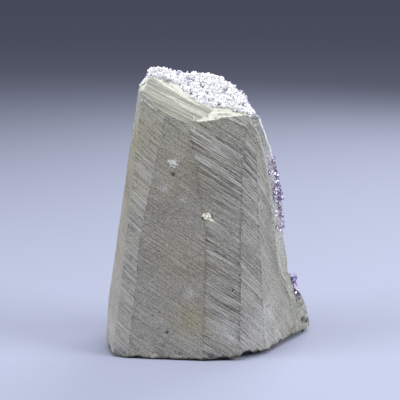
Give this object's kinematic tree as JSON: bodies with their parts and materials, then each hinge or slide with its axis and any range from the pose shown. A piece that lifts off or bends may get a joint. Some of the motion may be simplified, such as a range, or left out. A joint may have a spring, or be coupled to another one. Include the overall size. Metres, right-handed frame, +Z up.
{
  "type": "amethyst geode piece",
  "caption": "Free-standing cut-base piece of amethyst geode: faceted ground basalt back, agate rind, white quartz and a druse of purple points in front.",
  "frame": {"origin": "middle of the sawn base, on the surface that the piece stands on", "axes": "+Z up; the crystals face -Y and the ground back faces +Y"},
  "size_m": [0.1078, 0.0638, 0.1437],
  "materials": {
    "basalt": "coarsely ground matt grey-brown stone with diagonal saw marks",
    "agate": "waxy greenish-grey chalcedony with fine cream bands",
    "quartz": "milky white, broken and sugary",
    "amethyst": "clear purple crystal, deepest at the tips, glossy faces",
    "nodule": "matt cream to white mineral filling"
  },
  "bodies": {
    "root": {"basalt_matrix": "basalt", "agate_rind": "agate", "quartz_bed": "quartz", "amethyst_druse": "amethyst", "foot_crystals": "amethyst", "nodule_cream": "nodule", "nodule_white": "nodule", "nodule_grey": "nodule"}
  },
  "joints": []
}
